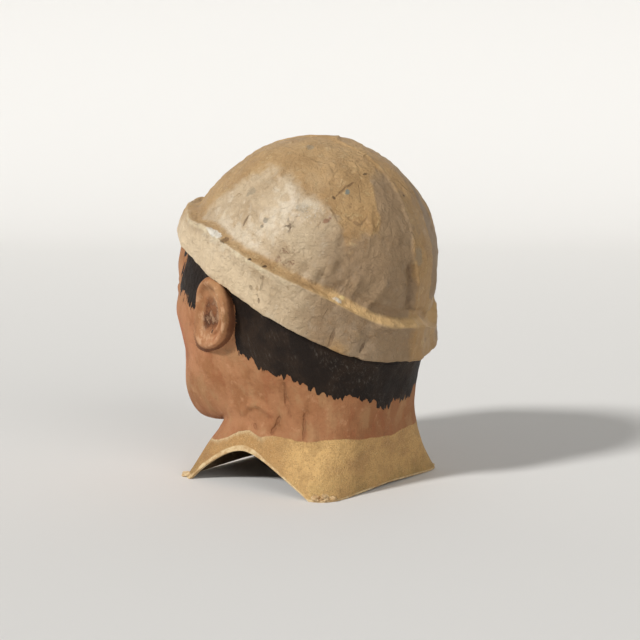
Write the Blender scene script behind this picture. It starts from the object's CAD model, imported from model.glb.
import bpy
import numpy as np
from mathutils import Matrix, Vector


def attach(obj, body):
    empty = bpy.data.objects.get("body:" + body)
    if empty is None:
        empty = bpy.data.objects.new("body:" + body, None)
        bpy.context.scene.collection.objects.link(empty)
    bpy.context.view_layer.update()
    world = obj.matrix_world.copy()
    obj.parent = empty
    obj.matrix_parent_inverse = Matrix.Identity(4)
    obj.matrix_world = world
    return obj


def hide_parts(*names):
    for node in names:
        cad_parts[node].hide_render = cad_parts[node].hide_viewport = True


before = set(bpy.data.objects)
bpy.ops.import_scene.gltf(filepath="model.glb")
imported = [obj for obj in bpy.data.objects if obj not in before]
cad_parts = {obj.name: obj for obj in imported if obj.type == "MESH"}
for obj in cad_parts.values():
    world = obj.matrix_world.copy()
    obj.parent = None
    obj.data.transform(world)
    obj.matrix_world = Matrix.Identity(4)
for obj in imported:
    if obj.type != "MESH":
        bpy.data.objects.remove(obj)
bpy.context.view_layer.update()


# The paper shell
# Torn paper and paste, laid up about six millimetres thick over a modelled head. Level sections
# around the ears' axis give the plain skin, from the collar's hem up to the cap's lower edge.
# Millimetres until the mesh is made; the ears' axis lies a little behind the frame's origin.
ear_axis_y = 8.2
wall = 6
# Half width, half depth, y of the middle, squareness, widening to the back, z at face, side, back.
sections = np.array([
    [121, 112, 15, 8.0, 0.00, 0, 0, 0],
    [113, 109, 17, 5.2, 0.00, 20, 20, 20],
    [106, 106, 20, 3.9, 0.00, 41, 42, 42],
    [101, 105, 23, 3.2, 0.02, 55, 62, 61],
    [98, 105, 24, 2.9, 0.03, 63, 82, 79],
    [101, 114, 17, 2.7, 0.05, 55, 104, 92],
    [107, 131, 2, 2.5, 0.08, 56, 126, 104],
    [112, 140, -5, 2.45, 0.08, 80, 145, 113],
    [116, 142, -5, 2.4, 0.07, 116, 162, 121],
    [119, 144, -5, 2.4, 0.05, 152, 178, 128],
    [122, 146, -4, 2.4, 0.03, 203, 197, 136],
    [124, 148, -2, 2.35, 0.02, 250, 213, 143],
    [126, 143, 6, 2.3, 0.00, 298, 228, 149],
])
neck, chin, cap_edge = 4, 7, 12
crown_middle = np.array([0, 20, 255])
crown_radii = np.array([133, 148, 145])
crown_front_radius = 170
crown_slope = -0.53
crown_step = np.radians(22)
crown_up = np.array([0, -crown_slope * crown_radii[1], crown_radii[2]])
crown_up /= np.linalg.norm(crown_up)
rim_climb, rim_drop, forehead_drop, right_rear_sag = 7.1, 4.6, 4.2, 8.5


def step_between(low, high, value):
    """From 0 at low to 1 at high, level at both ends: share squared times three less two shares."""
    share = np.clip((value - low) / (high - low), 0, 1)
    return share**2 * (3 - 2 * share)


def bell(u):
    """One at the middle, a third at one unit: the exponential of minus u squared."""
    return np.exp(-u * u)


def along(points, place):
    """A smooth curve through points stacked on the first axis, at a place counted in points: a
    cubic for each stretch, whose slope at a point is half the way between its two neighbours."""
    ends = 2 * points[[0, -1]] - points[[1, -2]]
    padded = np.concatenate([ends[:1], points, ends[1:]])
    column = np.arange(points.shape[1])
    place = np.broadcast_to(place, np.broadcast_shapes(np.shape(place), column.shape))
    i = np.clip(np.floor(place).astype(int), 0, len(points) - 2)
    u = (place - i)[..., None]
    a, b, c, d = (padded[i + k, column] for k in range(4))
    bend = (2 * a - 5 * b + 4 * c - d) * u**2 + (3 * b - a - 3 * c + d) * u**3
    return 0.5 * (2 * b + (c - a) * u + bend)


def crown_rim(angle):
    """The climb at which the brim's lip lies: a little higher behind the ears, lower at the back
    and over the forehead, and sagging at the right rear."""
    side = np.degrees(np.arcsin(np.sin(angle)))
    turn = np.degrees(angle) % 360
    rise = 2 * bell((side - 24) / 28)
    drop = rim_drop * (step_between(38, 76, side) + step_between(0.38, 0.62, -np.sin(angle)))
    drop += forehead_drop * step_between(0.78, 0.95, -np.sin(angle))
    sag = right_rear_sag * step_between(92, 120, turn) * step_between(178, 150, turn)
    return np.radians(rim_climb + rise - drop - sag)


def crown(climb, angle):
    """The cap's crown: an ellipsoid whose rim plane rises to the face, fuller over the forehead,
    at an angle around it and a climb from the rim plane to the top."""
    level, lift = np.cos(climb), np.sin(climb)
    x = level * np.cos(angle)
    y = level * np.sin(angle) * crown_up[2] + lift * crown_up[1]
    z = lift * crown_up[2] - level * np.sin(angle) * crown_up[1]
    flattening = np.where(y < 0, 0.22, 0.04) * y**2 * np.maximum(z, 0) ** 2
    depth = np.where(y < 0, crown_front_radius, crown_radii[1])
    way = np.stack([crown_radii[0] * x, depth * y, crown_radii[2] * z], -1)
    return crown_middle + (1 - flattening[..., None]) * way


def level_rings(angle):
    """Every level section at the given angles, then two rings of the crown. A section is the
    outline |x/a|^n + |y/b|^n = 1, and its height a parabola through face, side and back."""
    half_width, half_depth, middle, square, taper, front, side, back = sections.T[:, :, None]
    cos, sin = np.cos(angle), np.sin(angle)
    outline = np.abs(cos / half_width) ** square + np.abs(sin / half_depth) ** square
    radius = outline ** (-1 / square)
    way = radius * sin / half_depth
    z = side + way * (back - front) / 2 + way**2 * ((back + front) / 2 - side)
    rings = np.stack([radius * cos * (1 + taper * sin), middle + radius * sin, z], -1)
    rim = crown_rim(angle)
    return np.concatenate([rings, crown(rim, angle)[None], crown(rim + crown_step, angle)[None]])


def head(angle, height):
    """The plain skin: the smooth curve up through the level rings at each angle."""
    return along(level_rings(angle), height)


def outward(angle, height):
    """Unit normal of the plain skin: the cross product of the ways around and up."""
    step = 0.01
    around = head(angle + step, height) - head(angle - step, height)
    up = head(angle, height + step) - head(angle, height - step)
    normal = np.cross(around, up)
    return normal / np.linalg.norm(normal, axis=-1, keepdims=True)


def columns_around(count):
    """Angles of the columns, from the back round by the right: twice as close over the face."""
    turn = 2 * np.pi * np.arange(count) / count
    return turn + 0.25 * np.sin(turn) - 0.125 * np.sin(2 * turn) + np.pi / 2


def wander(points, wavelength, seed):
    """The unevenness of handwork, about -1 to 1: sixteen plane waves near one wavelength, each
    with its own direction and start, added up."""
    draw = np.random.default_rng(seed)
    ways = draw.normal(size=(16, 3))
    ways /= np.linalg.norm(ways, axis=1, keepdims=True)
    ways *= (2 * np.pi / (wavelength * draw.uniform(0.7, 1.5, 16)))[:, None]
    starts = draw.uniform(0, 2 * np.pi, 16)
    return np.sin(points @ ways.T + starts).sum(-1) / 4


# The collar
# The shell's lower end, cut in an arch over each shoulder, so that the mask stands on four tips:
# steep in front of the arch's top, nearly straight behind it. The hem between the tips is lifted
# a little, and its cut edge is pasted over and rounded.
arch_top, arch_height = -12.5, 41.3
hem_lift = 3
hem_rounding = 2.0


def hem_height(angle):
    """Height of the hem: over each shoulder an arch, one less a power of the share of its span,
    to a power, with other powers in front than behind; elsewhere a slight lift."""
    side = np.degrees(np.arcsin(np.sin(angle)))
    away = np.abs(side - arch_top)
    front = np.maximum(1 - (away / 25.8) ** 2, 0) ** 0.68
    rear = np.maximum(1 - (away / 47.5) ** 1.4, 0) ** 0.85
    arch = arch_height * np.where(side < arch_top, front, rear)
    return arch + hem_lift * np.clip((np.abs(side) - 52) / 38, 0, 1) ** 0.7


def hem_place(angle):
    """The hem's height counted in sections, read off the sections' heights at the side."""
    return np.interp(hem_height(angle), sections[:4, 6], np.arange(4))


# The face
# Modelled up in pulp on the paper skin: plain proportions, with the eyes half-way up the head.
# Each form stands off to the front, and the whole fades out before the ears.
swells = np.array([
    [2, 0, 249, 16, 14],
    [-13, 44, 228, 27, 18],
    [7, 0, 120, 42, 28],
    [-4, 0, 93, 30, 8],
    [9, 0, 72, 26, 16],
    [6, 70, 192, 22, 20],
    [-4, 78, 140, 20, 28],
])
eye_x, eye_z, lid_z, lid_half_width = 46, 223, 224.5, 23.5
nose_root, nose_tip, nose_base = 240, 166, 149
mouth_z, mouth_half_width = 116, 37


def broad_face(x, z):
    """Brow, sockets, muzzle, chin and cheekbones: bells of x times bells of z."""
    side = np.abs(x)
    out = side - 40
    forms = 5 * bell((z - 249 - 0.1 * out + 0.004 * out**2) / 11) * bell(side / 72)
    for stand_off, middle_x, middle_z, half_width, half_height in swells:
        sideways, upward = (side - middle_x) / half_width, (z - middle_z) / half_height
        forms = forms + stand_off * bell(sideways) * bell(upward)
    return forms


def dome(u, v, power):
    """A round boss: what is left of one after u squared and v squared, to a power."""
    return np.maximum(1 - u * u - v * v, 0) ** power


def larger(a, b):
    """The larger of two stand-offs with the corner between them rounded: a hyperbola."""
    rounding = 1.5
    return 0.5 * (a + b + np.hypot(a - b, rounding)) - 0.3 * rounding


def nose(x, z):
    """A ridge that widens to a round tip, with two wings and the nostrils under them."""
    side = np.abs(x)
    down = np.clip((nose_root - z) / (nose_root - nose_tip), 0, 1)
    below = np.clip((nose_tip - z) / (nose_tip - nose_base + 1), 0, 1)
    outline = np.sqrt(1 - below**2) * bell(np.maximum(z - nose_root, 0) / 15)
    ridge = (6 + 24 * down**1.2) * np.exp(-((side / (9 + 6.5 * down)) ** 2.4))
    foot = 4.8 * down * bell(x / 24)
    tip = 34 * dome(x / 15.5, (z - nose_tip) / 15.5, 0.62)
    wing = 19 * dome((side - 14.5) / 11.5, (z - 160) / 10.5, 0.62)
    nostril = 7 * bell((side - 8.5) / 4.6) * bell((z - 151.5) / 3.4)
    return larger(larger((ridge + foot) * outline, tip), wing) - nostril


def lid_edges(x):
    """Heights of the upper and the lower lid's edge: an almond around the pupil."""
    share = np.maximum(1 - ((np.abs(x) - eye_x) / lid_half_width) ** 2, 0)
    return lid_z + 9.5 * share**0.8, lid_z - 7.5 * share**0.9


def eyes(x, z):
    """A ball in each socket, with an upper and a lower lid that stand over it."""
    out = np.abs(x) - eye_x
    upper_edge, lower_edge = lid_edges(x)
    above, below = z - upper_edge, lower_edge - z
    lids = 3.4 * step_between(-1, 1, above) * bell(np.maximum(above, 0) / 8)
    lids += 2.6 * step_between(-1, 1, below) * bell(np.maximum(below, 0) / 6)
    lids -= 1.6 * bell((above - 8.5) / 1.8)
    return 12.5 * dome(out / 27, (z - eye_z) / 21, 0.9) + lids * bell(out / (1.05 * lid_half_width))


def lip_thickness(x):
    """Heights of the upper and the lower lip over the cut between them, and the cut's own z."""
    share = np.abs(x) / mouth_half_width
    out = np.minimum(share, 1)
    bow = 1 - 0.16 * bell(x / 5) + 0.1 * bell((np.abs(x) - 10) / 7)
    upper = np.maximum(11 * (1 - out**2.2) * bow, 0.1)
    lower = np.maximum(13.5 * (1 - out**2.4), 0.1)
    return upper, lower, mouth_z + 1.5 * share**2


def mouth(x, z):
    """Two closed lips: each the sine of its share of the height, thinning out to the corners."""
    side = np.abs(x)
    share = side / mouth_half_width
    upper, lower, cut_z = lip_thickness(x)
    over = np.clip((z - cut_z) / upper, 0, 1)
    under = np.clip((cut_z - z) / lower, 0, 1)
    lips = 5 * np.sin(np.pi * over**0.75) + 6.5 * np.sin(np.pi * under**0.8)
    cut = 2.6 * bell((z - cut_z) / 1.8) * (1 - step_between(0.9, 1.15, share))
    groove = 1.8 * bell(x / 4.5) * bell((z - 136) / 8)
    corners = 2 * bell((side - 40) / 6) * bell((z - cut_z) / 7)
    return (1 - np.minimum(share, 1) ** 3) * lips - cut - groove - corners


def facing(y):
    """How far a point belongs to the face: 0 from the ears back, 1 on the front."""
    return step_between(40, 95, -y)


# The cap
# A knitted cap's plain shape in pasted paper: the crown in one with the head, and the brim rolled
# out of thicker paper, ten millimetres proud. Its profile goes from the cap's lower edge over the
# lip and down to the crown: the way up to the lip, and the share of the stand-off. The groove
# above the lip is wide over the ears and narrow behind them, and at the back it is a plain ledge.
brim_depth, less_behind, more_at_sag = 10, 2, 4
brim_side = np.array([
    [0, 0.05], [0, 0.75], [0.06, 1.0], [0.3, 1.03], [0.62, 1.12], [0.88, 1.27], [0.95, 1.3],
    [0.98, 1.1], [1.01, 0.72], [1.05, 0.42], [1.1, 0.22], [1.18, 0.06], [1.3, 0],
])
brim_behind_ear = np.array([
    [0, 0.05], [0, 0.75], [0.06, 1.0], [0.3, 1.03], [0.62, 1.12], [0.89, 1.27], [0.95, 1.3],
    [0.97, 1.1], [0.985, 0.72], [1.0, 0.42], [1.03, 0.2], [1.1, 0.03], [1.3, 0],
])
brim_rear = np.array([
    [0, 0.05], [0, 0.75], [0.06, 1.0], [0.3, 1.05], [0.62, 1.16], [0.88, 1.28], [0.95, 1.3],
    [0.98, 1.15], [1.03, 0.85], [1.09, 0.48], [1.14, 0.14], [1.18, 0.02], [1.3, 0],
])


def brim(angle, place):
    """The rolled brim: the profile set on the plain skin along its normal, less at the back and
    more where it sags. Gives the points and the way up, 0 at the cap's lower edge, 1 at the lip."""
    side = np.degrees(np.arcsin(np.sin(angle)))[:, None]
    rear = step_between(50, 72, side)
    behind = bell((side - 36) / 18) * (1 - rear)
    shape = brim_side[:, None] * (1 - rear - behind) + brim_behind_ear[:, None] * behind
    profile = along(shape + brim_rear[:, None] * rear, place[:, None])
    up, share = np.maximum(profile[..., 0], 0), profile[..., 1]
    height = cap_edge + up
    turn = np.degrees(angle) % 360
    depth = brim_depth - less_behind * np.maximum(np.sin(angle), 0) ** 2
    depth += more_at_sag * bell((turn - 122) / 22)
    skin = head(angle, height)
    roll = 1 + 0.10 * wander(skin, 55, 3) * step_between(0.2, 0.8, up)
    return skin + outward(angle, height) * (depth * share * roll)[..., None], up + 0 * angle


# Rows and columns of the shell
# Every row goes once around the head. The rows climb outside from the hem to the top of the cap,
# closer together over the eyes, the nose and the mouth, and the inner wall follows inside.
angle = columns_around(320)
collar_rows, jaw_rows, face_rows, brim_rows, crown_rows, inner_rows = 24, 22, 88, 30, 70, 30

level = np.linspace(sections[chin, 5], sections[cap_edge, 5], 400)
closeness = 1 + 0.8 * bell((level - eye_z) / 16) + 0.8 * bell((level - 153) / 12)
closeness += 0.6 * bell((level - mouth_z) / 10)
count = np.cumsum(closeness)
face_levels = np.interp(np.linspace(count[0], count[-1], face_rows), count, level)
face_heights = np.interp(face_levels, sections[chin:, 5], np.arange(chin, cap_edge + 1))

start = hem_place(angle)
collar_share = (np.arange(collar_rows) / collar_rows)[:, None]
skin_height = np.concatenate([
    start + (neck - start) * collar_share,
    np.broadcast_to(np.linspace(neck, chin, jaw_rows, endpoint=False)[:, None], (jaw_rows, len(angle))),
    np.broadcast_to(face_heights[:, None], (face_rows, len(angle))),
])
skin = head(angle, skin_height)
x, y, z = np.moveaxis(skin, -1, 0)
skin[..., 1] -= (broad_face(x, z) + nose(x, z) + eyes(x, z) + mouth(x, z)) * facing(y)

brim_points, brim_up = brim(angle, np.linspace(0, len(brim_side) - 1, brim_rows + 1)[1:])
crown_start = crown_rim(angle) + crown_step * (brim_side[-1, 0] - 1)
crown_share = (np.arange(1, crown_rows + 1) / (crown_rows + 1))[:, None]
crown_climb = crown_start + (np.pi / 2 - crown_start) * crown_share
outer = np.concatenate([skin, brim_points, crown(crown_climb, angle)])
crown_top = crown(np.array(np.pi / 2), np.array(0.0))

skin_end = len(skin)
brim_end = skin_end + brim_rows


def grid_normals(grid):
    """Unit normals of a grid of points: the cross product of the ways to its neighbours."""
    around = np.roll(grid, -1, axis=1) - np.roll(grid, 1, axis=1)
    normal = np.cross(around, np.gradient(grid, axis=0))
    return normal / np.maximum(np.linalg.norm(normal, axis=-1, keepdims=True), 1e-9)


# The laid paper
# Handwork shows all over: broad unevenness, a proud strip over the middle of the cap, creases
# where the wet paper slipped, and dents and cracks from handling.
# The proud strip's left edge wanders with the height; its right edge is straight.
strip_edge = np.array([[150, 5], [230, 8], [248, 13], [276, 15], [303, 12], [350, 7], [400, 7]])
strip_right = -21
star_dent = np.array([115, 73, 305])
slip = np.array([-0.39, 0.51, 0.77])
# Creases, ridges and cracks: both ends, half width, stand-off and the dirt that lies in them.
neck_marks = [
    [105, 54, 125, 100, 54, 105, 3, -2.6, 0.3],
    [100, 54, 105, 98, 58, 86, 3, -2.2, 0.2],
    [104, 61, 124, 98, 61, 104, 3, 2.2, 0],
    [96, -12, 85, 99, 0, 94, 3, 2.6, 0],
    [99, 0, 94, 100, 11, 97, 3, 2.4, 0],
    [100, 15, 97, 99, 33, 89, 3, 2.2, 0],
    [99, 43, 86, 99, 40, 74, 2.8, -2.4, 0.3],
    [99, 40, 74, 101, 31, 65, 2.8, -2.2, 0.3],
    [98, 4, 75, 99, 10, 68, 2.8, -1.8, 0.3],
    [94, 87, 114, 94, 79, 92, 3, -1.5, 0.2],
    [94, 79, 92, 98, 76, 63, 3, -2.1, 0.4],
    [92, 84, 82, 94, 90, 62, 4.5, 2.8, 0],
]
brim_marks = [
    [71, 143, 179, 77, 134, 160, 3, -1.3, 0.3],
    [82, 137, 187, 41, 157, 192, 3.5, 1.4, 0],
    [80, 140, 182, 46, 157, 187, 3, -1, 0.2],
    [100, 121, 191, 103, 115, 176, 3, -1, 0.2],
    [140, 37, 241, 135, 38, 220, 3, -1, 0.2],
    [137, 50, 265, 140, 54, 246, 3, 1.1, 0],
    [123, 92, 214, 117, 98, 240, 3, 1.1, 0.2],
    [134, 73, 233, 130, 65, 204, 3, -0.9, 0.25],
    [143, -5, 284, 132, 2, 290, 3, -2, 0.5],
    [97, 122, 222, 92, 126, 226, 3.5, 2, 0],
    [3, 161, 218, 2, 159, 165, 3, 1.3, 0],
]
crown_marks = [
    [108, 8, 338, 118, 24, 318, 3, 1.1, 0],
    [96, -8, 350, 96, 9, 354, 2.5, 1.1, 0],
    [96, 9, 354, 103, 30, 345, 2.5, 1.3, 0],
    [103, 30, 345, 92, 41, 357, 2.5, 1.3, 0],
    [88, 99, 329, 87, 117, 308, 2.5, 0.9, 0.15],
    [60, 136, 314, 60, 142, 300, 2, 0.9, 0.1],
    [117, 90, 255, 107, 104, 279, 3, -1.4, 0.3],
    [116, 89, 270, 104, 102, 292, 3, -1.4, 0.2],
    [112, 100, 246, 103, 112, 266, 2.5, 1.2, 0],
    [106, 109, 242, 98, 118, 266, 3, 1.5, 0.1],
    [97, 120, 233, 84, 133, 251, 2.5, -1.2, 0.4],
    [84, 130, 226, 79, 138, 246, 3, 1.4, 0],
    [94, 124, 266, 87, 125, 290, 4, -1.3, 0.1],
    [67, 140, 214, 51, 155, 240, 3.5, 1.6, 0],
    [60, 143, 214, 47, 156, 233, 2.5, -1.3, 0.4],
    [53, 135, 323, 60, 142, 302, 2, 0.9, 0.3],
    [101, 30, 348, 86, 38, 363, 3, 1.4, 0],
    [94, 47, 353, 97, 66, 343, 3, 1.1, 0],
    [111, 15, 335, 119, 28, 318, 3, 1.2, 0],
    [122, 73, 274, 122, 66, 283, 3, -0.8, 0.5],
    [18, 166, 256, 13, 158, 211, 6.5, -2.4, 0.7],
    [8, 167, 240, 9, 160, 211, 3.5, 1.6, 0],
    [-2, 50, 396, 4, 53, 395, 3.5, 1.3, 0],
]


def proud_strip(points):
    """The strip over the cap's middle, 0 to 1, and the way to its left edge in millimetres."""
    x = points[..., 0] + 1.5 * wander(points, 50, 5)
    left = np.interp(points[..., 2], strip_edge[:, 0], strip_edge[:, 1])
    return step_between(left + 2, left - 1, x) * step_between(strip_right - 3, strip_right, x), x - left


def marked(points, marks):
    """Relief and dirt of straight marks: a bell in the distance from each, which wanders a little."""
    relief, dirt = np.zeros(points.shape[:-1]), np.zeros(points.shape[:-1])
    shaken = points + 0.6 * np.stack([wander(points, 15, seed) for seed in (51, 52, 53)], -1)
    for x0, y0, z0, x1, y1, z1, half_width, stand_off, dark in marks:
        start, way = np.array([x0, y0, z0]), np.array([x1 - x0, y1 - y0, z1 - z0])
        share = np.clip((shaken - start) @ way / (way @ way), 0, 1)
        distance = np.linalg.norm(shaken - start - share[..., None] * way, axis=-1)
        distance = np.maximum(distance - 0.8, 0)
        relief += stand_off * bell(distance / half_width)
        dirt = np.maximum(dirt, dark * bell(distance / (0.8 * half_width)))
    return relief, dirt


def slipped(points):
    """Diagonal creases behind the left ear: unevenness drawn out five times along the slip."""
    drawn_out = points - 0.8 * (points @ slip)[..., None] * slip
    middle = np.array([92, 120, 255])
    here = bell(np.linalg.norm((points - middle) / [55, 45, 36], axis=-1))
    return here * np.minimum(wander(drawn_out, 11, 17), 0.3)


def laid_paper(points, on_cap, on_brim):
    """Relief of the paper along the normal, and the dirt in its hollows."""
    lumps = 1.0 * wander(points, 85, 11) + 0.45 * wander(points, 30, 12) + 0.14 * wander(points, 12, 13)
    strip, from_edge = proud_strip(points)
    star = bell(np.linalg.norm(points - star_dent, axis=-1) / 10)
    sheets = np.clip(2.5 * wander(points, 60, 14), -1, 1) + np.clip(2.5 * wander(points, 38, 15), -1, 1)
    cap = 1.3 * strip + 0.8 * bell((from_edge + 1) / 2.4) - 1.8 * star + 1.9 * slipped(points)
    cap += 0.3 * sheets + 0.3 * wander(points, 9, 16)
    upright_folds = 0.5 * wander(points * [1, 1, 0.3], 15, 18)
    raised, dirt = marked(points, neck_marks + brim_marks + crown_marks)
    raised *= 1.25 + 0.6 * on_cap
    return lumps + on_cap * cap + on_brim * upright_folds + raised, dirt


row = np.arange(len(outer))[:, None]
on_cap = step_between(skin_end + 1, skin_end + 4, row)
on_brim = on_cap * step_between(brim_end - 8, brim_end - 14, row)
from_hem = outer[..., 2] - hem_height(angle)
by_ear = step_between(45, 25, np.hypot(outer[..., 1] + 38, outer[..., 2] - 200))
on_face = facing(outer[..., 1]) * (row < skin_end)
fade = step_between(0, 14, from_hem) * (1 - 0.65 * on_face) * (1 - by_ear)
relief, dirt = laid_paper(outer, on_cap, on_brim)
relief *= fade
outer = outer + grid_normals(outer) * relief[..., None]

# The inner wall
# One wall's thickness inside the broad forms, without the eyes and lips, in bare pasted strips.
rim_share = 0.7
share = (np.arange(inner_rows) / inner_rows)[:, None]
inner_height = start + (cap_edge + 1 - start) * np.minimum(share / rim_share, 1)
inner_skin = head(angle, inner_height)
x, y, z = np.moveaxis(inner_skin, -1, 0)
inner_skin[..., 1] -= (broad_face(x, z) + 0.55 * nose(x, z)) * facing(y)
rim = crown_rim(angle)
inner_climb = rim + (np.pi / 2 - rim) * np.maximum((share - rim_share) / (1 - rim_share), 0)
inner = np.where((share > rim_share)[..., None], crown(inner_climb, angle), inner_skin)
inner_depth = wall - 0.8 * wander(inner, 40, 21) * step_between(0, 0.1, share)
inner = inner - grid_normals(inner) * inner_depth[..., None]
inner[0, :, 2] = hem_height(angle)
inner_top = crown_top - crown_up * wall

# The hem's rounded edge, from the outer wall across to the inner one.
outer_edge, inner_edge = outer[0].copy(), inner[0].copy()
outer_up = outer[1] - outer[0]
inner_up = inner[1] - inner[0]
outer_up *= np.minimum(hem_rounding / np.linalg.norm(outer_up, axis=1, keepdims=True), 0.7)
inner_up *= np.minimum(hem_rounding / np.linalg.norm(inner_up, axis=1, keepdims=True), 0.7)
outer[0] = outer_edge + outer_up
inner[0] = inner_edge + inner_up


def rounded(a, corner, b, share):
    """A quarter round between two points about their corner: a parabola."""
    return a * (1 - share) ** 2 + 2 * corner * share * (1 - share) + b * share**2


hem_outer = outer_edge + 0.35 * (inner_edge - outer_edge)
hem_inner = outer_edge + 0.65 * (inner_edge - outer_edge)
hem = np.array([
    rounded(outer[0], outer_edge, hem_outer, 0.35),
    rounded(outer[0], outer_edge, hem_outer, 0.7),
    hem_outer,
    hem_inner,
    rounded(hem_inner, inner_edge, inner[0], 0.3),
    rounded(hem_inner, inner_edge, inner[0], 0.65),
])
hem[..., 2] = np.maximum(hem[..., 2], 0)

# Where each paint lies
# Signed distances in millimetres, positive inside, kept on the mesh for the brushwork below.
# The hair's outline on one side, as an angle from the ear towards the back and a height.
hair_outline = np.array([
    [100, 99], [83, 97], [70, 105], [60, 110], [51, 116], [43, 120], [39, 128], [33, 133], [25, 138],
    [17, 143], [10, 149], [2, 155], [1, 172], [2, 190], [1, 205], [-3, 214], [-8, 221], [-15, 222],
    [-28, 212], [-31, 203], [-34, 206], [-36, 202], [-38, 212], [-41, 208], [-42, 220], [-46, 216],
    [-48, 227], [-46, 236], [-43, 244], [-40, 254], [-41, 262], [-45, 272], [-50, 286], [-52, 330],
    [100, 330],
])
collar_line = np.array([
    [-90, 40], [-60, 42], [-40, 46], [-33, 50], [-29, 54], [-23, 61], [-13, 65.5], [-2, 60.5], [9, 64],
    [17, 64], [30, 61.5], [38, 64.5], [47, 65.5], [60, 63], [79, 61], [90, 59],
])
arc_per_degree = 2.15


def distance_inside(outline, u, v):
    """Signed distance to a closed outline, positive inside: the nearest of its sides, with the
    sign from how often a level line to the right crosses it."""
    nearest = np.full(u.shape, 1e9)
    crossings = np.zeros(u.shape, int)
    for (u0, v0), (u1, v1) in zip(outline, np.roll(outline, -1, axis=0)):
        length = (u1 - u0) ** 2 + (v1 - v0) ** 2
        share = np.clip(((u - u0) * (u1 - u0) + (v - v0) * (v1 - v0)) / length, 0, 1)
        nearest = np.minimum(nearest, np.hypot(u - u0 - share * (u1 - u0), v - v0 - share * (v1 - v0)))
        spans = (v0 > v) != (v1 > v)
        crossings += spans & (u < u0 + (v - v0) * (u1 - u0) / (v1 - v0 + 1e-9))
    return np.where(crossings % 2 == 1, nearest, -nearest)


def paint_fields(points, angle, row):
    """What the brushwork needs at each point of the outside."""
    x, y, z = np.moveaxis(points, -1, 0)
    side = np.abs(x)
    folded = np.degrees(np.arcsin(np.sin(angle))) + 0 * z
    front = y < -60
    upper_edge, lower_edge = lid_edges(x)
    upper, lower, cut_z = lip_thickness(x)
    brow_line = 252 + 5 * bell((side - 48) / 26) - 0.2 * np.maximum(side - 62, 0)
    brow_half = 4.6 * np.clip((side - 15) / 14, 0, 1) ** 0.5 * np.clip((86 - side) / 40, 0, 1) ** 0.6
    outline = np.stack([hair_outline[:, 0] * arc_per_degree, hair_outline[:, 1]], -1)
    return {
        "hair": distance_inside(outline, folded * arc_per_degree, z),
        "collar": np.interp(folded, collar_line[:, 0], collar_line[:, 1]) - z,
        "eye": np.where(front, np.minimum(upper_edge - z, z - lower_edge), -20),
        "iris": np.where(front, 11.5 - np.hypot(side - eye_x, z - lid_z), -20),
        "brow": np.where(front, brow_half - np.abs(z - brow_line), -20),
        "lips": np.where(front, np.minimum(upper - z + cut_z, lower - cut_z + z), -20),
        "blush": bell((side - 74) / 30) * bell((z - 165) / 30) * facing(y),
    }


fields = paint_fields(outer, angle, row)
brim_way = np.zeros(outer.shape[:2])
brim_way[:skin_end] = skin_height - cap_edge - 0.03
brim_way[skin_end:brim_end] = brim_up + 0.04
brim_way[brim_end:] = 1.25 + (crown_climb - crown_start) / crown_step
fields["cap"] = brim_way * 45
fields["dirt"] = dirt


def gone_ochre(points, way):
    """Where the cap's paint has gone ochre, 0 to 1: on top, behind the lip and on the strip."""
    x, y = points[..., 0], points[..., 1] - crown_middle[1]
    side = np.degrees(np.arcsin(y / np.hypot(x, y)))
    ends = np.array([
        [-90, 300], [-40, 308], [-29, 331], [-21, 350], [-4, 362], [19, 363], [31, 344], [45, 329],
        [51, 295], [60, 298], [67, 295], [70, 335], [73, 356], [90, 366],
    ])
    top = step_between(-22, 20, points[..., 2] - np.interp(side, ends[:, 0], ends[:, 1]))
    groove = step_between(0.97, 1.03, way) * step_between(1.26, 1.02, way)
    right_end = np.where(points[..., 2] < 215, -70, -32)
    strip = step_between(6, -4, proud_strip(points)[1]) * (points[..., 1] > 60) * (x > right_end)
    stain = bell(np.linalg.norm(points - [95, 123, 169], axis=-1) / 13)
    return np.max([top, groove, 0.75 * strip, 0.7 * stain], axis=0)


def worn_edge(from_hem, angle):
    """The collar's rubbed edge, 0 to 1: a narrow line, broader over the front of the arch."""
    side = np.degrees(np.arcsin(np.sin(angle)))
    climb = np.abs(np.gradient(hem_height(angle), angle)) / 115
    distance = from_hem / np.hypot(1, climb)
    width = 2 + 4.5 * bell((side + 16) / 22)
    return step_between(1.3, 0.8, distance / width)


fields["ochre"] = gone_ochre(outer, brim_way)
fields["worn"] = worn_edge(from_hem, angle) * (row < collar_rows)
fields["inside"] = np.zeros(outer.shape[:2])
fields["ear"] = np.zeros(outer.shape[:2])
# A share is 0 where it is absent, and a distance is well outside.
absent = {name: -20.0 for name in fields}
absent.update(dict.fromkeys(("ear", "blush", "dirt", "ochre", "worn", "inside"), 0.0))


def shell_field(name):
    """One field in the order of the shell's points: top, outside down, hem, inside up, top."""
    down = fields[name][::-1]
    value = 1.0 if name == "inside" else absent[name]
    edge = np.repeat(fields[name][:1], len(hem), axis=0)
    over_hem = {"inside": (0.1, 0.6), "worn": (1, 0.8)}
    if name in over_hem:
        edge = np.repeat(np.linspace(*over_hem[name], len(hem))[:, None], len(angle), axis=1)
    within = np.full(inner.shape[:2], value)
    return np.concatenate([[down[0, 0]], down.ravel(), edge.ravel(), within.ravel(), [value]])


def tool_fields(size, **given):
    """The fields of a small part that is joined on, absent but for those given."""
    return {**{name: np.full(size, value) for name, value in absent.items()}, **given}


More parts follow.
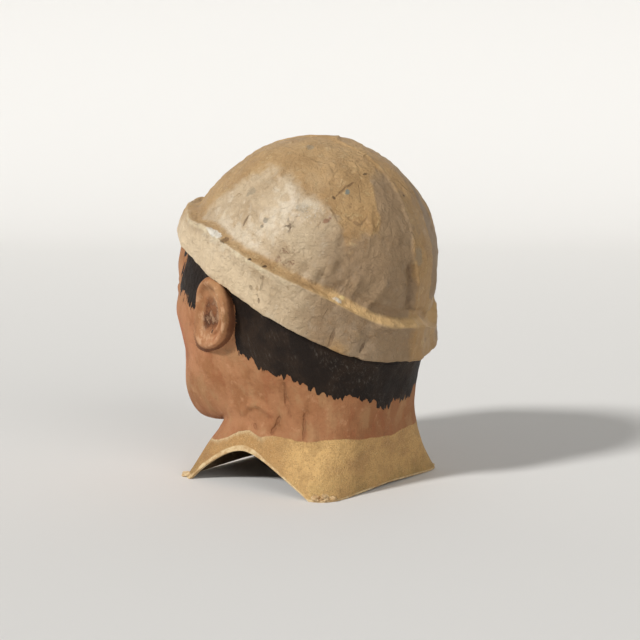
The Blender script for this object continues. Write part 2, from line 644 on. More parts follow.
def closed_surface(name, first_end, rows, last_end, values):
    """A mesh over rows of points that go around, with a fan of triangles to a point at each end,
    and the fields that the paint reads as attributes."""
    height, around = rows.shape[:2]
    points = np.vstack([first_end[None], rows.reshape(-1, 3), last_end[None]])
    points = (points + [0, ear_axis_y, 0]) * 0.001
    here = 1 + around * np.arange(height - 1)[:, None] + np.arange(around)
    beside = 1 + around * np.arange(height - 1)[:, None] + (np.arange(around) + 1) % around
    quads = np.stack([here, here + around, beside + around, beside], -1).reshape(-1, 4)
    column = np.arange(around)
    following = (column + 1) % around
    first_fan = np.stack([0 * column, 1 + column, 1 + following], -1)
    base = 1 + around * (height - 1)
    last_fan = np.stack([0 * column + base + around, base + following, base + column], -1)
    mesh = bpy.data.meshes.new(name)
    mesh.from_pydata(points.tolist(), [], quads.tolist() + first_fan.tolist() + last_fan.tolist())
    for key, value in {**values, "known": np.ones(len(points))}.items():
        mesh.attributes.new(key, "FLOAT", "POINT").data.foreach_set("value", value.astype(np.float32))
    made = bpy.data.objects.new(name, mesh)
    bpy.context.scene.collection.objects.link(made)
    return made


rows = np.concatenate([outer[::-1], hem, inner])
mask = closed_surface("mask", crown_top, rows, inner_top, {name: shell_field(name) for name in fields})

# The ears
# Rolled pulp pressed on to the head: a thick rounded rim and a deep bowl, with a ridge inside it
# at the rear. In front and below the rim runs out into the cheek, and elsewhere it stands free.
# The section goes from the bowl's middle to the top of the rim: way out, share of its height.
ear_y, ear_z, ear_front_width, ear_rear_width, ear_half_height = -35.5, 198.5, 29, 35, 44.5
ear_lean = np.radians(17)
ear_floor, ear_sink = 2, 3
ear_open = np.array([
    [0, 0], [0.2, 0], [0.36, 0.02], [0.47, 0.06], [0.55, 0.12], [0.63, 0.22], [0.71, 0.42],
    [0.79, 0.72], [0.87, 0.97], [0.95, 1.0],
])
ear_ridged = np.array([
    [0, 0], [0.22, 0.0], [0.4, 0.08], [0.5, 0.4], [0.56, 0.58], [0.61, 0.56], [0.68, 0.5],
    [0.77, 0.78], [0.86, 1.0], [0.95, 1.0],
])
ear_free_edge = np.array([[1.0, 0.82], [1.01, 0.5], [0.97, 0.18], [0.94, 0]])
ear_cheek_edge = np.array([[1.03, 0.8], [1.12, 0.5], [1.24, 0.2], [1.34, 0]])


def side_of_head(y, z):
    """Point and normal of the plain skin at the left side for a y and a z: eight of Newton's
    steps in the angle and the height."""
    around, height = np.full(y.shape, -0.3), np.full(y.shape, 9.0)
    step = 0.001
    for _ in range(8):
        here = head(around, height)
        by_angle = (head(around + step, height) - here) / step
        by_height = (head(around, height + step) - here) / step
        area = by_angle[:, 1] * by_height[:, 2] - by_height[:, 1] * by_angle[:, 2]
        miss_y, miss_z = y - here[:, 1], z - here[:, 2]
        around = around + np.clip((miss_y * by_height[:, 2] - by_height[:, 1] * miss_z) / area, -0.3, 0.3)
        height = height + np.clip((by_angle[:, 1] * miss_z - miss_y * by_angle[:, 2]) / area, -1, 1)
    return head(around, height), outward(around, height)


def ear(columns, rows):
    """The ear's points on a grid of turns around it and places along its section."""
    turn = 2 * np.pi * np.arange(columns) / columns
    cos, sin = np.cos(turn), np.sin(turn)
    rim = (13 + 5 * cos + sin) * (1 - 0.7 * ((1 + np.cos(turn - np.radians(222))) / 2) ** 2)
    ridged = ((1 + cos) / 2)[:, None]
    free = (((1 + np.cos(turn - np.radians(50))) / 2) ** 0.6)[:, None]
    front = ear_open[:, None] * (1 - ridged) + ear_ridged[:, None] * ridged
    edge = ear_cheek_edge[:, None] * (1 - free) + ear_free_edge[:, None] * free
    section = np.concatenate([front, edge])
    section[..., 1] *= rim
    section[: len(front), :, 1] += ear_floor
    section[-1, :, 1] -= ear_sink
    out, stand_off = np.moveaxis(along(section, np.linspace(0, len(section) - 1, rows)[:, None]), -1, 0)
    width = ear_front_width + (ear_rear_width - ear_front_width) * (1 + cos) / 2
    lobe_shift = 13 * np.maximum(-sin, 0) ** 2
    rearward = -2 * (1 - out) + (width * cos * (1 + 0.06 * sin) - lobe_shift) * out
    up = ear_half_height * sin * out
    y = ear_y + rearward * np.cos(ear_lean) + up * np.sin(ear_lean)
    z = ear_z - rearward * np.sin(ear_lean) + up * np.cos(ear_lean)
    point, normal = side_of_head(y.ravel(), z.ravel())
    normal = 0.35 * normal + 0.65 * np.array([1, 0.1, 0])
    normal /= np.linalg.norm(normal, axis=1, keepdims=True)
    stand_off = stand_off + 0.5 * wander(np.stack([y, z, out], -1), 16, 31) * step_between(0.3, 0.9, out)
    return (point + normal * stand_off.reshape(-1, 1)).reshape(rows, columns, 3), out


ear_points, ear_out = ear(64, 36)
root_point, root_normal = side_of_head(np.array([ear_y]), np.array([ear_z]))
ear_root = root_point[0] - ear_sink * root_normal[0]
ear_rows, ear_middle = ear_points[1:], ear_points[0].mean(axis=0)
tools = []
for side_name, mirror in (("left", 1), ("right", -1)):
    flip = np.array([mirror, 1, 1])
    grid = (ear_rows * flip)[:, ::mirror]
    way_out = ear_out[1:, ::mirror]
    size = grid.shape[0] * grid.shape[1] + 2
    turn_around = 2 * np.pi * np.arange(way_out.shape[1])[::mirror] / way_out.shape[1]
    low = 0.5 + 0.5 * np.cos(turn_around - np.radians(235))
    bowl = step_between(0.72, 0.35, way_out) + 0.5 * low * step_between(0.62, 0.3, way_out)
    edge_row = (np.arange(1, len(way_out) + 1) / len(way_out))[:, None]
    under = 0.8 * step_between(0.7, 0.84, edge_row) * (0.5 + 0.5 * np.cos(turn_around - np.radians(330)))
    values = tool_fields(size, ear=np.concatenate([[2.0], (1 + bowl - under).ravel(), [1.0]]))
    tools.append(closed_surface(f"ear {side_name}", ear_middle * flip, grid, ear_root * flip, values))

# The eye holes
# The wearer looks out through the pupils, each pierced straight back through the wall.
pierce = 2 * np.pi * np.arange(40) / 40
pierce_ring = np.stack([6 * np.cos(pierce), 0 * pierce, 6 * np.sin(pierce)], -1)
for mirror in (1, -1):
    ends = [pierce_ring + [mirror * eye_x, end, lid_z] for end in (-180, -75)]
    size = 2 * len(pierce) + 2
    values = tool_fields(size, inside=np.ones(size))
    cut = closed_surface("eye hole", ends[0].mean(0), np.array(ends), ends[1].mean(0), values)
    tools.append(cut)

# The frayed tips
# Where the collar stands, its tips are worn through to the pulp, which hangs out in small lumps.
lump_turn = 2 * np.pi * np.arange(24) / 24
lump_climb = np.radians(np.linspace(78, -78, 15))[:, None]
lump_places = [
    [108, 114, 4, 6, 5, 4], [101, 119, 3, 4, 5, 3], [115, 107, 4, 4, 5, 3.5],
    [108, -90, 3, 5, 5, 3], [112, -83, 4, 4, 4, 3], [104, -95, 2.5, 4, 4, 2],
    [-105, 115, 3, 4, 4, 2.5], [-108, -88, 3, 5, 4, 2.5],
]
for x, y, z, half_width, half_depth, half_height in lump_places:
    reach = np.cos(lump_climb)
    ball = (reach * np.cos(lump_turn), reach * np.sin(lump_turn), np.sin(lump_climb))
    way = np.stack(np.broadcast_arrays(*ball), -1)
    rough = 1 + 0.22 * wander(way * half_width + x, 5, 41)
    points = way * [half_width, half_depth, half_height] * rough[..., None] + [x, y, z]
    points[..., 2] = np.maximum(points[..., 2], 0.1)
    size = points.shape[0] * points.shape[1] + 2
    values = tool_fields(size, worn=np.ones(size))
    tools.append(closed_surface("frayed tip", points[0].mean(0), points, points[-1].mean(0), values))

bpy.context.view_layer.update()
for tool in tools:
    joint = mask.modifiers.new(tool.name, "BOOLEAN")
    joint.operation = "DIFFERENCE" if tool.name.startswith("eye hole") else "UNION"
    joint.solver = "MANIFOLD"
    joint.object = tool
joined = bpy.data.meshes.new_from_object(mask.evaluated_get(bpy.context.evaluated_depsgraph_get()))
mask.modifiers.clear()
mask.data = joined
for tool in tools:
    bpy.data.objects.remove(tool)


def fill_seams(mesh, names):
    """Points that the joins added know no paint yet: each takes the mean of its neighbours."""
    edges = np.zeros(2 * len(mesh.edges), np.int32)
    mesh.edges.foreach_get("vertices", edges)
    a, b = edges.reshape(-1, 2).T
    size = len(mesh.vertices)
    stored = {}
    for name in ["known", *names]:
        stored[name] = np.zeros(size, np.float32)
        mesh.attributes[name].data.foreach_get("value", stored[name])
    known = stored["known"] > 0.5
    for _ in range(3):
        weight = np.zeros(size)
        np.add.at(weight, a, known[b])
        np.add.at(weight, b, known[a])
        fill = ~known & (weight > 0)
        for name in names:
            total = np.zeros(size)
            np.add.at(total, a, stored[name][b] * known[b])
            np.add.at(total, b, stored[name][a] * known[a])
            stored[name][fill] = total[fill] / weight[fill]
        known = known | fill
    for name in names:
        mesh.attributes[name].data.foreach_set("value", stored[name])
    mesh.attributes.remove(mesh.attributes["known"])


fill_seams(joined, list(fields))
joined.polygons.foreach_set("use_smooth", np.ones(len(joined.polygons), bool))

# The paint
# Matt distemper and oil colour brushed by hand over the paper: flesh on the face and neck, black
# hair, a cream cap gone ochre on top, and an ochre collar speckled like sand. Old dirt lies in
# the hollows, and the worn edges show bare paper.


class Shade:
    """One socket of the paint's nodes. Arithmetic on it adds Math nodes."""

    tree = None

    def __init__(self, socket):
        self.socket = socket

    @classmethod
    def node(cls, kind, settings, sockets, output=0):
        """Adds a node, sets it up, and fills its sockets with numbers, colours or links."""
        made = cls.tree.nodes.new(kind)
        for name, value in settings.items():
            setattr(made, name, value)
        for name, value in sockets.items():
            if isinstance(value, Shade):
                cls.tree.links.new(value.socket, made.inputs[name])
            else:
                made.inputs[name].default_value = value
        return cls(made.outputs[output])

    def math(self, operation, *others, clamped=False):
        settings = {"operation": operation, "use_clamp": clamped}
        return self.node("ShaderNodeMath", settings, dict(enumerate([self, *others])))

    def __add__(self, other):
        return self.math("ADD", other)

    def __sub__(self, other):
        return self.math("SUBTRACT", other)

    def __rsub__(self, other):
        return self.node("ShaderNodeMath", {"operation": "SUBTRACT"}, {0: other, 1: self})

    def __mul__(self, other):
        return self.math("MULTIPLY", other)

    __radd__ = __add__
    __rmul__ = __mul__

    def between(self, low, high):
        """From 0 at low to 1 at high, level at both ends."""
        sockets = {"Value": self, "From Min": low, "From Max": high}
        return self.node("ShaderNodeMapRange", {"interpolation_type": "SMOOTHSTEP"}, sockets)


def linear(red, green, blue):
    """A colour given as it looks, 0 to 255, as the light that it reflects."""
    share = np.array([red, green, blue]) / 255
    light = np.where(share < 0.04045, share / 12.92, ((share + 0.055) / 1.055) ** 2.4)
    return (*light.tolist(), 1.0)


def mixed(base, other, amount):
    """One colour over another. Each is a socket, or three numbers for what linear takes."""
    base, other = (c if isinstance(c, Shade) else linear(*c) for c in (base, other))
    settings = {"data_type": "RGBA"}
    return Shade.node("ShaderNodeMix", settings, {0: amount, 6: base, 7: other}, output=2)


def field(name):
    """A field kept on the mesh."""
    return Shade.node("ShaderNodeAttribute", {"attribute_name": name}, {}, output="Fac")


paint = bpy.data.materials.new("hand-painted papier-mache")
paint.use_nodes = True
Shade.tree = paint.node_tree
Shade.tree.nodes.clear()
place = Shade.node("ShaderNodeTexCoord", {}, {}, output="Object")


def stretched(waves, turn=(0, 0, 0)):
    """Object coordinates along turned axes, in waves per metre."""
    sockets = {"Vector": place, "Scale": [1 / w for w in waves], "Rotation": turn}
    return Shade.node("ShaderNodeMapping", {"vector_type": "TEXTURE"}, sockets)


def speckle(scale, detail=2, rough=0.5, vector=None, distortion=0.0):
    """Cloudy noise from 0 to 1 at a scale in clouds per metre."""
    sockets = {"Vector": vector or place, "Scale": scale, "Detail": detail, "Roughness": rough}
    return Shade.node("ShaderNodeTexNoise", {}, {**sockets, "Distortion": distortion})


broad = speckle(9, 3, 0.6)
cloudy = speckle(28, 4, 0.6)
mottle = speckle(90, 5, 0.65)
grain = speckle(420, 3, 0.6)
sand = speckle(900, 2, 0.6)
ragged = (speckle(220, 3) - 0.5) * 1.1


def spot(centre, size, turn=(0, 0, 0)):
    """A small mark with a ragged outline: an ellipsoid at a place in millimetres in head
    coordinates, with half sizes and turns, 0 outside it and 1 in its middle."""
    where = [centre[0] * 0.001, (centre[1] + ear_axis_y) * 0.001, centre[2] * 0.001]
    sockets = {"Vector": place, "Location": where, "Rotation": turn, "Scale": [s * 0.0016 for s in size]}
    local = Shade.node("ShaderNodeMapping", {"vector_type": "TEXTURE"}, sockets)
    ball = Shade.node("ShaderNodeTexGradient", {"gradient_type": "SPHERICAL"}, {0: local}, output="Fac")
    return (1.6 * ball - ragged).between(0.55, 1)


def way_along(turn):
    """One object coordinate in millimetres: a straight gradient along the turned first axis."""
    sockets = {"Vector": place, "Location": (0.5, 0, 0), "Rotation": turn}
    turned = Shade.node("ShaderNodeMapping", {"vector_type": "POINT"}, sockets)
    return (Shade.node("ShaderNodeTexGradient", {}, {0: turned}, output="Fac") - 0.5) * 1000


across = way_along((0, 0, 0))
back = way_along((0, 0, -np.pi / 2))
height = way_along((0, np.pi / 2, 0))
dirt = field("dirt")

# Flesh: warm tan, a little redder on the cheeks, browner towards the nape, dirty in the mottle.
flesh = mixed((184, 132, 93), (158, 108, 70), cloudy.between(0.38, 0.66))
flesh = mixed(flesh, (140, 94, 60), (back + (broad - 0.5) * 90).between(-40, 120) * 0.65)
flesh = mixed(flesh, (150, 100, 66), height.between(135, 95) * 0.35)
olive = speckle(40, 4, 0.6, stretched((1, 1, 0.6)))
flesh = mixed(flesh, (172, 134, 94), olive.between(0.5, 0.66) * 0.5)
flesh = mixed(flesh, (150, 88, 56), olive.between(0.46, 0.34) * 0.4)
flesh = mixed(flesh, (198, 150, 112), mottle.between(0.55, 0.72) * 0.45)
flesh = mixed(flesh, (188, 104, 78), field("blush") * (0.3 + 0.4 * cloudy))
flesh = mixed(flesh, (132, 86, 56), mottle.between(0.43, 0.3) * 0.4)
flesh = mixed(flesh, (118, 74, 48), dirt.between(0.15, 0.75) * 0.6)
ear_field = field("ear")
in_bowl = (ear_field + (mottle - 0.5) * 2.4 + (broad - 0.5) * 0.5).between(1.35, 2.3)
flesh = mixed(flesh, (118, 72, 46), in_bowl * 0.85)
flesh = mixed(flesh, (70, 42, 28), (ear_field + (mottle - 0.5) * 3.5).between(1.9, 2.6) * 0.85)
ear_under = ear_field.between(0.03, 0.2) * (ear_field + (mottle - 0.5) * 0.8).between(0.85, 0.4)
flesh = mixed(flesh, (92, 52, 32), ear_under * 0.75)
flesh = mixed(flesh, (214, 172, 134), ear_field.between(0.9, 1.0) * mottle.between(0.5, 0.64) * 0.5)

# Lips, eye whites, irises and the lines around the eyes, thinly brushed.
hatch = speckle(1, 3, 0.6, stretched((260, 260, 22)))
wobble = (mottle - 0.5) * 2.4 + (hatch - 0.5) * 1.2
flesh = mixed(flesh, (158, 78, 66), (field("lips") + wobble).between(-0.6, 1.4) * 0.8)
eye = field("eye")
flesh = mixed(flesh, (216, 204, 180), (eye + wobble * 0.4).between(0.3, 1.2) * 0.95)
iris = mixed((74, 52, 36), (40, 30, 24), mottle.between(0.4, 0.6))
in_eye = eye.between(0.2, 0.9)
flesh = mixed(flesh, iris, field("iris").between(-0.3, 0.6) * in_eye)
lash = (0.9 - (eye - 0.2).math("ABSOLUTE")).between(0, 0.9)
flesh = mixed(flesh, (58, 42, 34), lash * 0.85)
brow_mask = (field("brow") + (hatch - 0.5) * 5 + (mottle - 0.5) * 2).between(-0.3, 1.0)

# Hair: black, laid on with a worn brush. Its lower edge ends in pointed bristle marks, upright at
# the nape and slanting forward at the temple, and thin grey strokes shine where the paint is dry.
upright = speckle(1, 2, 0.5, stretched((130, 130, 16))).between(0.34, 0.66)
slanting = speckle(1, 2, 0.5, stretched((150, 230, 18), (-0.55, 0, 0))).between(0.34, 0.66)
temple = back.between(-10, -35)
tips = upright * (1 - temple) + slanting * temple
hair_edge = field("hair") + (tips - 0.5) * 10 + (cloudy - 0.5) * 8 + (mottle - 0.5) * 9
hair_mask = hair_edge.between(-0.4, 0.5)
strokes = speckle(1, 4, 0.7, stretched((420, 420, 34), (0.25, 0, 0)), 0.6)
dry = strokes.between(0.53, 0.72) * (broad + (cloudy - 0.5)).between(0.42, 0.62)
black = mixed((26, 15, 7), (44, 30, 18), cloudy.between(0.4, 0.65))
hair_colour = mixed(black, (112, 106, 98), dry * 0.45)
flesh = mixed(flesh, hair_colour, brow_mask)
colour = mixed(flesh, hair_colour, hair_mask)

# Collar: ochre with sand-like specks and a wavy upper edge, rubbed pale along the cut edge.
collar_mask = (field("collar") + (cloudy - 0.5) * 7 + (mottle - 0.5) * 3).between(-0.7, 0.9)
ochre = mixed((198, 156, 102), (172, 131, 82), (cloudy * 0.6 + mottle * 0.4).between(0.38, 0.62))
brushed_over = (field("collar") + mottle * 12 + cloudy * 12).between(19, 10) * back.between(60, 10)
ochre = mixed(ochre, (232, 210, 168), brushed_over * 0.75)
lit = (back + (cloudy - 0.5) * 60).between(40, 90) * back.between(165, 105)
ochre = mixed(ochre, (224, 184, 122), lit * 0.65)
ochre = mixed(ochre, (162, 122, 84), (broad * 0.4 + cloudy * 0.6).between(0.53, 0.63) * 0.4)
ochre = mixed(ochre, (148, 128, 80), height.between(30, 6) * cloudy.between(0.42, 0.56) * 0.4)
ochre = mixed(ochre, (136, 104, 62), (grain * 0.55 + mottle * 0.45).between(0.53, 0.42) * 0.4)
ochre = mixed(ochre, (118, 86, 54), grain.between(0.58, 0.7) * 0.6)
ochre = mixed(ochre, (108, 80, 52), sand.between(0.62, 0.74) * 0.5)
ochre = mixed(ochre, (236, 216, 170), sand.between(0.4, 0.28) * 0.5)
ochre = mixed(ochre, (150, 116, 74), cloudy.between(0.5, 0.36) * 0.45)
colour = mixed(colour, ochre, collar_mask)
worn = (field("worn") + (cloudy - 0.5) * 0.9).between(0.25, 0.75)
rubbed_edge = mixed((226, 202, 158), (196, 162, 116), mottle.between(0.4, 0.62))
colour = mixed(colour, rubbed_edge, worn * 0.85)

# Cap: cream, greyer low at the back, gone ochre on top, behind the lip and on the strip.
cap_mask = field("cap").between(-0.4, 0.6)
cream = mixed((212, 189, 156), (190, 164, 130), (cloudy * 0.7 + mottle * 0.3).between(0.4, 0.64))
cream = mixed(cream, (232, 216, 190), (mottle + (broad - 0.5)).between(0.52, 0.7) * 0.6)
cream = mixed(cream, (236, 212, 176), field("cap").between(42, 30) * back.between(100, 20) * 0.75)
greyer = (back - (across - 90) * 0.4 + (broad - 0.5) * 60 + (290 - height) * 0.35).between(80, 150)
cream = mixed(cream, (142, 113, 81), greyer * 0.8)
gone = (field("ochre") + (cloudy - 0.5) * 1.6 + (mottle - 0.5) * 1.0).between(0.15, 0.85)
dusk = mixed((196, 158, 108), (174, 136, 88), (cloudy * 0.6 + mottle * 0.4).between(0.4, 0.62))
dusk = mixed(dusk, (212, 182, 132), (mottle * 0.6 + grain * 0.4).between(0.53, 0.63) * 0.6)
cream = mixed(cream, dusk, gone * 0.85)
cream = mixed(cream, (150, 116, 78), mottle.between(0.41, 0.29) * 0.55)
cream = mixed(cream, (122, 92, 62), grain.between(0.64, 0.76) * 0.4)
lip_mask = field("cap").between(39, 42) * field("cap").between(47, 43.5) * back.between(125, 60)
cream = mixed(cream, (238, 220, 184), lip_mask * (cloudy + mottle).between(0.85, 1.15) * 0.7)
ledge = field("cap").between(43, 46) * field("cap").between(55, 49) * back.between(110, 130)
cream = mixed(cream, (228, 190, 134), ledge * 0.75)
cream = mixed(cream, (96, 70, 46), (dirt + (mottle - 0.5) * 1.1).between(0.25, 1.0) * 0.8)

# Marks on the cap: stains, old blue-grey paint, pits, and chips down to the white ground.
brown, blue, grey = (146, 108, 82), (122, 130, 122), (150, 138, 118)
dark, white = (56, 40, 30), (238, 230, 214)
for middle, size, tint, strength, *turn in (
    ((94, 106, 310), (5, 5, 3), brown, 0.85, (0.3, 0, 0)),
    ((65, 113, 340), (3.2, 3.2, 7), blue, 0.85),
    ((46, 47, 388), (5, 6, 6), blue, 0.4),
    ((107, 10, 340), (7, 7, 9), grey, 0.5),
    ((121, 42, 310), (4.5, 4.5, 4), grey, 0.8),
    ((123, 39, 303), (3, 2.5, 2), grey, 0.8),
    ((104, 80, 324), (9, 9, 6), grey, 0.4),
    ((7, 167, 268), (8, 9, 14), grey, 0.5),
    ((79, 105, 335), (1.6, 2, 3.6), dark, 0.7, (0.5, 0, 0)),
    ((91, 109, 313), (2, 2, 1.5), brown, 0.9),
    ((33, 114, 359), (4, 2.5, 1.4), dark, 0.7),
    ((-1, 142, 334), (2.5, 2.5, 2), dark, 0.8),
    ((-22, 123, 353), (7, 4, 3), dark, 0.5, (0, 0.7, 0)),
    ((-46, 124, 343), (4, 3, 3), dark, 0.9, (0, 0.6, 0)),
    ((143, 38, 268), (3, 3.4, 1.8), dark, 0.9),
    ((139, 56, 261), (3, 4, 2), dark, 0.8, (0.4, 0, 0)),
    ((137, -19, 294), (7, 15, 4.5), white, 0.95, (-0.42, 0, 0)),
    ((97, 121, 225), (5, 10, 3), white, 0.85, (-0.3, 0, 0)),
    ((92, 126, 227), (4, 4, 3), (232, 204, 142), 0.9),
):
    cream = mixed(cream, tint, spot(middle, size, *turn) * strength)
flecks = spot((102, 86, 321), (18, 16, 13)) * grain.between(0.58, 0.66)
cream = mixed(cream, white, flecks * 0.8)
rubbed = spot((122, 73, 273), (10, 16, 16)) * (mottle * 0.5 + grain * 0.5).between(0.5, 0.6)
cream = mixed(cream, brown, rubbed * 0.7)

# Thin cracks and creases with old dirt in them, on the cap, the band and the neck: both ends, half
# width and depth of tone.
def on_surface(point):
    """The shell's nearest point."""
    near = outer.reshape(-1, 3)
    return Vector(near[np.argmin(np.linalg.norm(near - point, axis=1))])


lines = []
for start_point, end_point, half_width, strength in (
    ((121, 17, 314), (125, 13, 302), 1.5, 0.9),
    ((79, 121, 316), (76, 127, 309), 1.1, 0.5),
    ((76, 127, 309), (70, 134, 304), 1.1, 0.6),
    ((70, 134, 304), (61, 137, 313), 1.1, 0.5),
    ((87, 106, 324), (87, 117, 309), 1.3, 0.5),
    ((51, 112, 352), (63, 110, 345), 1.2, 0.9),
    ((61, 110, 346), (78, 106, 336), 1.0, 0.7),
    ((47, 116, 351), (61, 128, 327), 0.9, 0.4),
    ((71, 143, 179), (77, 134, 160), 1.8, 0.9),
    ((100, 121, 191), (103, 114, 174), 1.5, 0.8),
    ((140, 32, 237), (138, 41, 226), 1.4, 0.7),
    ((138, 41, 226), (137, 41, 219), 1.6, 0.9),
    ((139, 55, 259), (138, 53, 243), 1.3, 0.7),
    ((138, 53, 243), (138, 46, 230), 1.3, 0.5),
    ((143, -5, 284), (133, 2, 290), 2.2, 0.9),
    ((137, 50, 265), (139, 54, 248), 1.4, 0.7),
    ((105, 55, 125), (100, 54, 105), 1.6, 0.7),
    ((103, 50, 114), (98, 58, 86), 1.6, 0.5),
    ((94, 79, 92), (98, 76, 63), 1.8, 0.8),
    ((99, 43, 86), (99, 40, 74), 1.6, 0.8),
    ((99, 40, 74), (101, 31, 65), 1.6, 0.8),
    ((98, 5, 74), (99, 9, 68), 1.6, 0.7),
    ((108, -62, 168), (110, -52, 172), 1.6, 0.7),
):
    start_point, end_point = on_surface(start_point), on_surface(end_point)
    way = end_point - start_point
    line = spot(
        (start_point + end_point) / 2, (0.6 * way.length, half_width, half_width * 2),
        way.to_track_quat("X", "Z").to_euler(),
    )
    lines.append(line * strength)
cracks = lines[0]
for line in lines[1:]:
    cracks = cracks.math("MAXIMUM", line)
cream = mixed(cream, (96, 70, 46), cracks * 0.6)

# The star: five dark rays around the dent behind the temple.
flat = Shade.node("ShaderNodeMapping", {"vector_type": "TEXTURE"}, {
    "Vector": place,
    "Location": (star_dent + [0, ear_axis_y, 0]) * 0.001,
    "Rotation": (0, 1.25, 0.36),
    "Scale": (0.001, 0.001, 0.001),
})
star_x = Shade.node("ShaderNodeSeparateXYZ", {}, {0: flat}, output="X")
star_y = Shade.node("ShaderNodeSeparateXYZ", {}, {0: flat}, output="Y")
ray = (star_y.math("ARCTAN2", star_x) * 5 + (mottle - 0.5) * 7).math("COSINE")
far = (star_x * star_x + star_y * star_y).math("SQRT") + ragged * 6
star_lines = (ray.between(0.3, 1.0) * far.between(15, 3) + far.between(5, 1)) * mottle.between(0.36, 0.6)
cream = mixed(cream, (120, 98, 74), star_lines * 0.7)
colour = mixed(colour, (120, 74, 48), cracks * 0.45)
colour = mixed(colour, cream, cap_mask)
colour = mixed(colour, (70, 46, 32), spot((125, -34, 180), (4, 3, 2.5), (0.5, 0, 0)) * 0.9)

# Inside: bare strips, brown with paste.
bare = mixed((150, 124, 92), (104, 82, 60), cloudy.between(0.35, 0.65))
bare = mixed(bare, (186, 166, 134), mottle.between(0.58, 0.75) * 0.5)
colour = mixed(colour, bare, field("inside").between(0.45, 0.9))

# The paper's surface: crinkles and the torn sheets' edges on the cap, brush marks and pores on the
# flesh, sandy grain on the collar.
stir = Shade.node("ShaderNodeTexNoise", {}, {"Vector": place, "Scale": 55, "Detail": 4}, output="Color")
stir = Shade.node("ShaderNodeVectorMath", {"operation": "SCALE"}, {0: stir, "Scale": 0.022})
shaken = Shade.node("ShaderNodeVectorMath", {"operation": "ADD"}, {0: place, 1: stir})
torn = {"Vector": shaken, "Scale": 24}
seams = Shade.node("ShaderNodeTexVoronoi", {"feature": "DISTANCE_TO_EDGE"}, torn).between(0.07, 0.0)
sheet = Shade.node("ShaderNodeTexVoronoi", {"feature": "F1"}, torn, output="Color")
sheet = Shade.node("ShaderNodeSeparateColor", {}, {0: sheet})
crinkle = speckle(150, 6, 0.7, shaken, 0.4)
weave = speckle(1, 4, 0.65, stretched((330, 200, 120), (0.7, 0.2, 0.4)), 0.5)
level_way = back * 2.0 - across * 1.2
cross = (level_way + height * 2.0).math("SINE") * (level_way - height * 2.0).math("SINE")
woven = cross * spot((112, 92, 272), (45, 45, 50)) * mottle
rough_cap = sheet * 0.5 + seams * 0.6 + crinkle * 3.6 + weave * 1.2 + cloudy * 1.2 - star_lines * 0.9
rough_cap = rough_cap + woven * 0.5 + flecks * 0.5 - rubbed * 0.5
rough_skin = crinkle * 1.3 + cloudy * 1.2 + hatch * 0.4 + mottle * 0.7
rough_collar = grain * 1.1 + sand * 0.6 + crinkle * 1.2
brushed = strokes * 0.9 + tips * 0.4
relief_height = rough_skin + (rough_cap - rough_skin) * cap_mask
relief_height = relief_height + (rough_collar - relief_height) * collar_mask * (1 - cap_mask)
relief_height = relief_height + brushed * hair_mask * (1 - cap_mask) - cracks * 1.2
bump = Shade.node("ShaderNodeBump", {}, {"Height": relief_height, "Distance": 0.0013, "Strength": 0.9})

surface = Shade.tree.nodes.new("ShaderNodeBsdfPrincipled")
output = Shade.tree.nodes.new("ShaderNodeOutputMaterial")
Shade.tree.links.new(surface.outputs[0], output.inputs[0])
Shade.tree.links.new(colour.socket, surface.inputs["Base Color"])
Shade.tree.links.new(bump.socket, surface.inputs["Normal"])
roughness = 0.72 - 0.1 * hair_mask + 0.2 * (mottle - 0.5)
Shade.tree.links.new(roughness.socket, surface.inputs["Roughness"])
sheen = cap_mask * (cloudy + broad).between(0.8, 1.2) * 0.35 + hair_mask * (1 - cap_mask) * 0.08
Shade.tree.links.new(sheen.socket, surface.inputs["Coat Weight"])
surface.inputs["Coat Roughness"].default_value = 0.4
surface.inputs["Specular IOR Level"].default_value = 0.2

joined.materials.clear()
joined.materials.append(paint)
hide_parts("mask_shell")
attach(mask, "root")

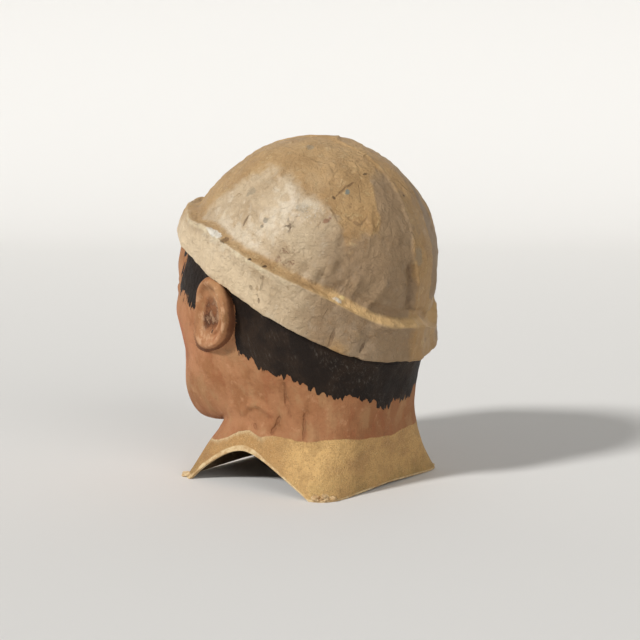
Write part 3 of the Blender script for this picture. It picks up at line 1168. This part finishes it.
# The backdrop
# A pale board that runs away from the camera and curves up into a wall, four metres behind.
camera_azimuth, camera_drop = np.radians(127), np.radians(7.72)
bend = np.radians(np.linspace(0, 90, 25))
bend_radius, bend_start, backdrop_half_width = 1.5, 3, 7
along_board = np.concatenate([[-8], bend_start + bend_radius * np.sin(bend), [bend_start + bend_radius]])
up_board = np.concatenate([[0], bend_radius * (1 - np.cos(bend)), [6]])
away = np.array([-np.sin(camera_azimuth), np.cos(camera_azimuth), 0])
sideways = np.array([away[1], -away[0], 0])
board_edge = along_board[:, None] * away + up_board[:, None] * np.array([0, 0, 1])
half_board = backdrop_half_width * sideways
board_points = np.concatenate([board_edge + half_board, board_edge - half_board])
first = np.arange(len(board_edge) - 1)
strips = np.stack([first, first + 1, first + 1 + len(board_edge), first + len(board_edge)], -1)
floor_mesh = bpy.data.meshes.new("backdrop")
floor_mesh.from_pydata(board_points.tolist(), [], strips.tolist())
floor_mesh.polygons.foreach_set("use_smooth", np.ones(len(strips), bool))
floor = bpy.data.objects.new("backdrop", floor_mesh)
bpy.context.scene.collection.objects.link(floor)
board = bpy.data.materials.new("pale board")
board.use_nodes = True
board.node_tree.nodes["Principled BSDF"].inputs["Base Color"].default_value = linear(226, 224, 220)
board.node_tree.nodes["Principled BSDF"].inputs["Roughness"].default_value = 0.9
floor_mesh.materials.append(board)

surround = bpy.data.worlds.new("studio")
surround.use_nodes = True
surround.node_tree.nodes["Background"].inputs["Color"].default_value = linear(232, 232, 232)
surround.node_tree.nodes["Background"].inputs["Strength"].default_value = 0.26
bpy.context.scene.world = surround
bpy.context.scene.view_settings.view_transform = "Standard"

# The studio light
# A soft key light, high on the mask's left and a little in front of its ears, and a weak one
# from behind it that fills the shade.
for name, way, power, spread in (
    ("key light", (0.78, -0.2, 0.59), 2.6, 0.15),
    ("fill light", (0.35, 0.85, 0.4), 0.9, 0.7),
):
    lamp = bpy.data.lights.new(name, "SUN")
    lamp.energy = power
    lamp.angle = spread
    stand = bpy.data.objects.new(name, lamp)
    bpy.context.scene.collection.objects.link(stand)
    stand.rotation_mode = "QUATERNION"
    stand.rotation_quaternion = Vector(way).to_track_quat("Z", "Y")

# The camera
# Behind the mask on its left, a little above it, with a ninety-millimetre lens.
camera_data = bpy.data.cameras.new("camera")
camera_data.lens = 90
camera_data.sensor_width = 36
camera_data.clip_end = 100
camera = bpy.data.objects.new("camera", camera_data)
bpy.context.scene.collection.objects.link(camera)
camera.location = (1.4906, 1.1578, 0.4374)
towards = Vector((
    -np.sin(camera_azimuth) * np.cos(camera_drop),
    np.cos(camera_azimuth) * np.cos(camera_drop),
    -np.sin(camera_drop),
))
camera.rotation_mode = "QUATERNION"
camera.rotation_quaternion = towards.to_track_quat("-Z", "Y")
bpy.context.scene.camera = camera
